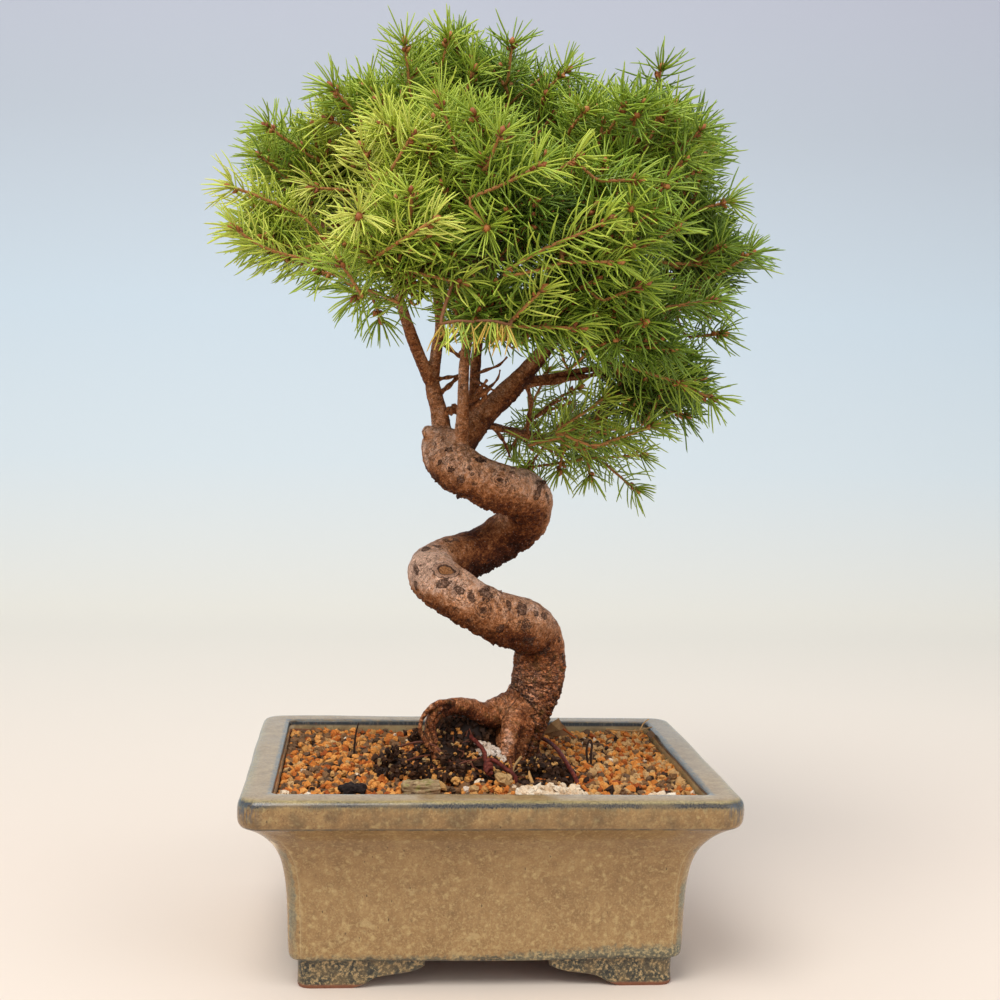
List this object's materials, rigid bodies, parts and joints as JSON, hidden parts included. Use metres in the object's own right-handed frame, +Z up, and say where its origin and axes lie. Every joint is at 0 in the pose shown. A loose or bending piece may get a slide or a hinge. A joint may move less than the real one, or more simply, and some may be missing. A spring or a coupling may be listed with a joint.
{
  "type": "spruce bonsai",
  "caption": "Spruce bonsai with a corkscrew trunk and a dense needled crown, rooted in a mottled glazed rectangular pot on bracket feet.",
  "frame": {"origin": "on the ground, under the middle of the pot, at the centre of the underside of the bounding box", "axes": "+Z up along the trunk; -Y towards the viewing front, the pot's long side; +X to the right as seen from the front"},
  "size_m": [0.2472, 0.207, 0.4005],
  "materials": {
    "pot_glaze": "gloss",
    "screen_plastic": "matte",
    "soil": "matte",
    "old_soil": "matte",
    "bark": "matte",
    "brown_wire": "satin",
    "chip_bark": "matte",
    "fertiliser": "matte",
    "needles": "satin"
  },
  "bodies": {
    "root": {"pot": "pot_glaze", "drain_mesh_left": "screen_plastic", "drain_mesh_right": "screen_plastic", "soil_bed": "soil", "root_ball_soil": "old_soil", "trunk": "bark", "tie_wire": "brown_wire", "bark_chip": "chip_bark", "fertiliser_lump": "fertiliser", "foliage_far_left": "needles", "foliage_left_upper": "needles", "foliage_left_low": "needles", "foliage_top_left": "needles", "foliage_top": "needles", "foliage_top_right": "needles", "foliage_right_upper": "needles", "foliage_right": "needles", "foliage_right_low": "needles", "foliage_rear_right_low": "needles", "foliage_front_left": "needles", "foliage_front_middle": "needles", "foliage_front_right": "needles", "foliage_front_low": "needles", "foliage_front_right_low": "needles", "foliage_front_left_upper": "needles", "foliage_front_right_upper": "needles", "foliage_rear_left": "needles", "foliage_rear_top": "needles", "foliage_rear_right": "needles", "foliage_rear_middle": "needles"}
  },
  "joints": []
}
